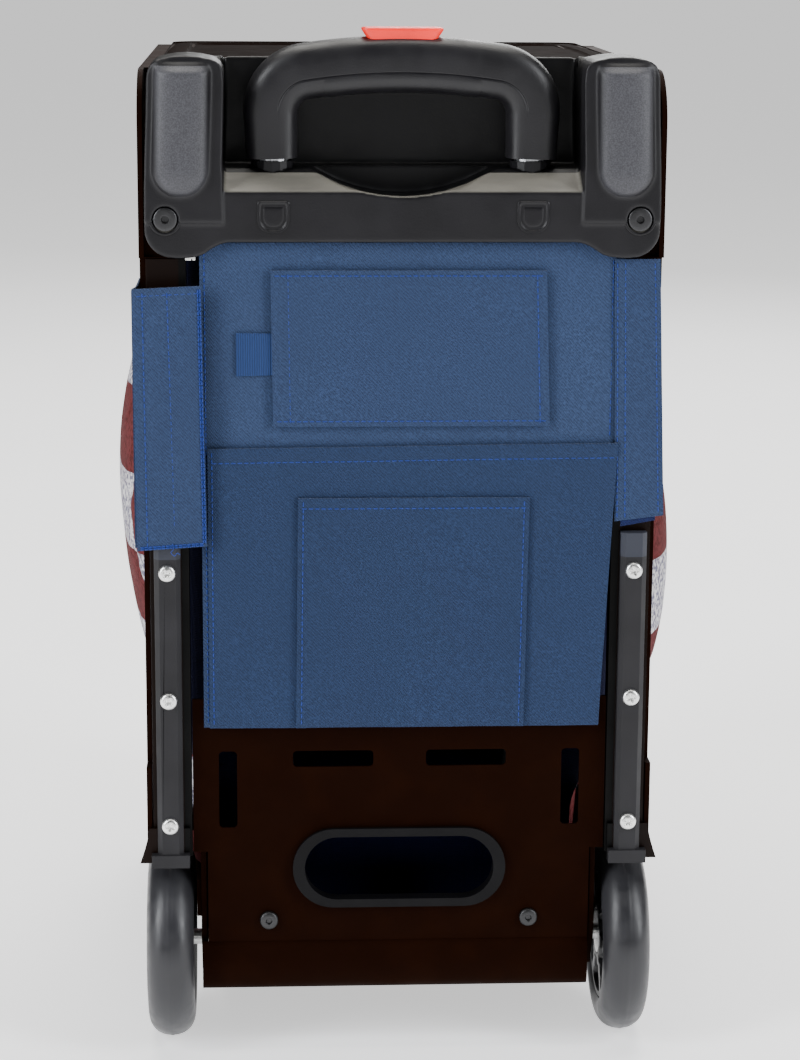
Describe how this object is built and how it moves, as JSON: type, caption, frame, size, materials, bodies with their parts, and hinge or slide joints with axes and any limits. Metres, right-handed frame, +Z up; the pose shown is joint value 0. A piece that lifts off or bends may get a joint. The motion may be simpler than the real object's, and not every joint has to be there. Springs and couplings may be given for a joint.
{
  "type": "seat trolley",
  "caption": "Two-wheeled framed bag trolley with a seat top, a stowed telescoping pull handle with a release button, and a soft striped bag inside.",
  "frame": {"origin": "middle of the footprint on the ground: centre of the overall box, at its lowest point", "axes": "+Z up, -Y towards the back of the trolley where the pockets and handle are, +X to the right when looking at that back"},
  "size_m": [0.294, 0.348, 0.5102],
  "materials": {
    "frame_metal": "dark brown-black anodised, satin",
    "black_plastic": "fine textured moulding",
    "glide_plastic": "scuffed",
    "seat_plastic": "satin moulding",
    "screw_steel": "plated",
    "dark_steel": "blackened",
    "tube_metal": "satin anodised",
    "red_plastic": "semi gloss",
    "soft_grip": "soft touch",
    "tyre_rubber": "smooth moulded",
    "hub_plastic": "moulded",
    "foot_rubber": "matt",
    "blue_fabric": "close woven polyester",
    "stripe_fabric": "printed woven polyester"
  },
  "bodies": {
    "frame": {"side_frame_left": "frame_metal", "side_frame_right": "frame_metal", "rear_rail_left": "frame_metal", "rear_rail_right": "frame_metal", "back_panel": "frame_metal", "grommet_ring": "black_plastic", "base_tray": "frame_metal", "wheel_plate_left": "frame_metal", "wheel_plate_right": "frame_metal", "front_crossbar": "frame_metal", "front_foot_left": "foot_rubber", "front_foot_right": "foot_rubber", "seat": "seat_plastic", "glide_strip_left": "glide_plastic", "glide_strip_right": "glide_plastic", "glide_screw_1_left": "screw_steel", "glide_screw_1_right": "screw_steel", "glide_screw_2_left": "screw_steel", "glide_screw_2_right": "screw_steel", "glide_screw_3_left": "screw_steel", "glide_screw_3_right": "screw_steel", "panel_screw_left": "dark_steel", "panel_screw_right": "dark_steel", "handle_housing": "black_plastic", "housing_screw_left": "dark_steel", "housing_screw_right": "dark_steel", "outer_tube_left": "tube_metal", "outer_tube_right": "tube_metal", "tube_collar_left": "black_plastic", "tube_collar_right": "black_plastic", "tube_bracket": "black_plastic", "axle_left": "screw_steel", "axle_right": "screw_steel", "insert_bag": "stripe_fabric", "fabric_back_panel": "blue_fabric", "card_pocket": "blue_fabric", "lower_pocket": "blue_fabric"},
    "left_wheel": {"tyre_left": "tyre_rubber", "wheel_hub_left": "hub_plastic", "bearing_inner_left": "screw_steel", "bearing_outer_left": "screw_steel"},
    "right_wheel": {"tyre_right": "tyre_rubber", "wheel_hub_right": "hub_plastic", "bearing_inner_right": "screw_steel", "bearing_outer_right": "screw_steel"},
    "handle_stage": {"middle_tube_left": "tube_metal", "middle_tube_right": "tube_metal"},
    "handle_top": {"grip": "black_plastic", "grip_insert": "soft_grip", "inner_tube_left": "tube_metal", "inner_tube_right": "tube_metal", "button_spring": "screw_steel"},
    "release": {"release_button": "red_plastic", "push_rod_left": "screw_steel", "push_rod_right": "screw_steel"},
    "left_pin": {"lock_pin_left": "screw_steel"},
    "right_pin": {"lock_pin_right": "screw_steel"},
    "left_flap": {"flap_left": "blue_fabric"},
    "right_flap": {"flap_right": "blue_fabric"}
  },
  "joints": [
    {"name": "left_wheel_spin", "type": "hinge", "parent": "frame", "child": "left_wheel", "pos_m": [-0.1145, -0.124, 0.05], "axis": [1, 0, 0], "continuous": true},
    {"name": "right_wheel_spin", "type": "hinge", "parent": "frame", "child": "right_wheel", "pos_m": [0.1145, -0.124, 0.05], "axis": [1, 0, 0], "continuous": true},
    {"name": "handle_stage_slide", "type": "slide", "parent": "frame", "child": "handle_stage", "axis": [0, 0, 1], "range_m": [0, 0.24]},
    {"name": "handle_top_slide", "type": "slide", "parent": "handle_stage", "child": "handle_top", "axis": [0, 0, 1], "range_m": [0, 0.24]},
    {"name": "release_press", "type": "slide", "parent": "handle_top", "child": "release", "axis": [0, 0, -1], "range_m": [0, 0.004], "stiffness_N_per_m": 800, "springref_m": -0.002, "deforming": ["button_spring"]},
    {"name": "left_pin_retract", "type": "slide", "parent": "handle_top", "child": "left_pin", "axis": [1, 0, 0], "range_m": [0, 0.0015]},
    {"name": "right_pin_retract", "type": "slide", "parent": "handle_top", "child": "right_pin", "axis": [-1, 0, 0], "range_m": [0, 0.0015]},
    {"name": "left_flap_turn", "type": "hinge", "parent": "frame", "child": "left_flap", "pos_m": [-0.1286, -0.1624, 0.326], "axis": [0, 0, -1], "range_deg": [0, 160]},
    {"name": "right_flap_turn", "type": "hinge", "parent": "frame", "child": "right_flap", "pos_m": [0.1034, -0.1576, 0.4024], "axis": [0.025, 0, -0.9997], "range_deg": [0, 130]}
  ],
  "couplings": [
    {"joint": "left_pin_retract", "follows": "release_press", "ratio": 0.375},
    {"joint": "right_pin_retract", "follows": "release_press", "ratio": 0.375}
  ]
}
